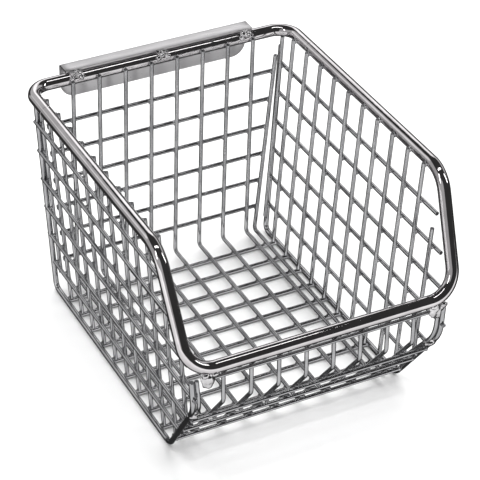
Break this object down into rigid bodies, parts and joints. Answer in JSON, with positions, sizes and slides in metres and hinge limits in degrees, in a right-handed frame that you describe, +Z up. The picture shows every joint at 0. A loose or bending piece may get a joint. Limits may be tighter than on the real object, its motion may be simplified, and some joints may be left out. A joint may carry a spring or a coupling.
{
  "type": "wire mesh container",
  "caption": "Open-topped basket of welded chrome wire with a sloping open front, a heavy rim wire and a folded sheet hanger on its back for hanging on a rail or stacking.",
  "frame": {"origin": "middle of the underside of the basket's bounding box, on the surface it stands on", "axes": "+X to the right seen from the open front, +Y towards the back wall and its hanger (the open front faces -Y), +Z up"},
  "size_m": [0.2118, 0.268, 0.1842],
  "materials": {
    "mesh_chrome": "bright plated wire, slightly uneven",
    "rim_chrome": "bright mirror-plated heavy wire",
    "hanger_satin_chrome": "satin plated sheet"
  },
  "bodies": {
    "root": {"back_cross_wire_01": "mesh_chrome", "back_cross_wire_02": "mesh_chrome", "back_cross_wire_03": "mesh_chrome", "back_cross_wire_04": "mesh_chrome", "back_cross_wire_05": "mesh_chrome", "back_cross_wire_06": "mesh_chrome", "corner_upright_left": "mesh_chrome", "corner_upright_right": "mesh_chrome", "edge_wire_left": "mesh_chrome", "edge_wire_right": "mesh_chrome", "floor_cross_wire_01": "mesh_chrome", "floor_cross_wire_02": "mesh_chrome", "floor_cross_wire_03": "mesh_chrome", "floor_cross_wire_04": "mesh_chrome", "floor_cross_wire_05": "mesh_chrome", "floor_cross_wire_06": "mesh_chrome", "floor_cross_wire_07": "mesh_chrome", "floor_cross_wire_08": "mesh_chrome", "floor_cross_wire_09": "mesh_chrome", "front_lip_wire": "mesh_chrome", "hanger_bracket": "hanger_satin_chrome", "lengthwise_wire_01": "mesh_chrome", "lengthwise_wire_02": "mesh_chrome", "lengthwise_wire_03": "mesh_chrome", "lengthwise_wire_04": "mesh_chrome", "lengthwise_wire_05": "mesh_chrome", "lengthwise_wire_06": "mesh_chrome", "lengthwise_wire_07": "mesh_chrome", "lengthwise_wire_08": "mesh_chrome", "rim_front_section": "rim_chrome", "rim_rear_section": "rim_chrome", "side_frame_left": "mesh_chrome", "side_frame_right": "mesh_chrome", "side_upright_left_01": "mesh_chrome", "side_upright_left_02": "mesh_chrome", "side_upright_left_03": "mesh_chrome", "side_upright_left_04": "mesh_chrome", "side_upright_left_05": "mesh_chrome", "side_upright_left_06": "mesh_chrome", "side_upright_left_07": "mesh_chrome", "side_upright_left_08": "mesh_chrome", "side_upright_left_09": "mesh_chrome", "side_upright_left_10": "mesh_chrome", "side_upright_right_01": "mesh_chrome", "side_upright_right_02": "mesh_chrome", "side_upright_right_03": "mesh_chrome", "side_upright_right_04": "mesh_chrome", "side_upright_right_05": "mesh_chrome", "side_upright_right_06": "mesh_chrome", "side_upright_right_07": "mesh_chrome", "side_upright_right_08": "mesh_chrome", "side_upright_right_09": "mesh_chrome", "side_upright_right_10": "mesh_chrome", "stub_upright_left": "mesh_chrome", "stub_upright_right": "mesh_chrome", "toe_cross_wire_01": "mesh_chrome", "toe_cross_wire_02": "mesh_chrome", "toe_cross_wire_03": "mesh_chrome"}
  },
  "joints": []
}
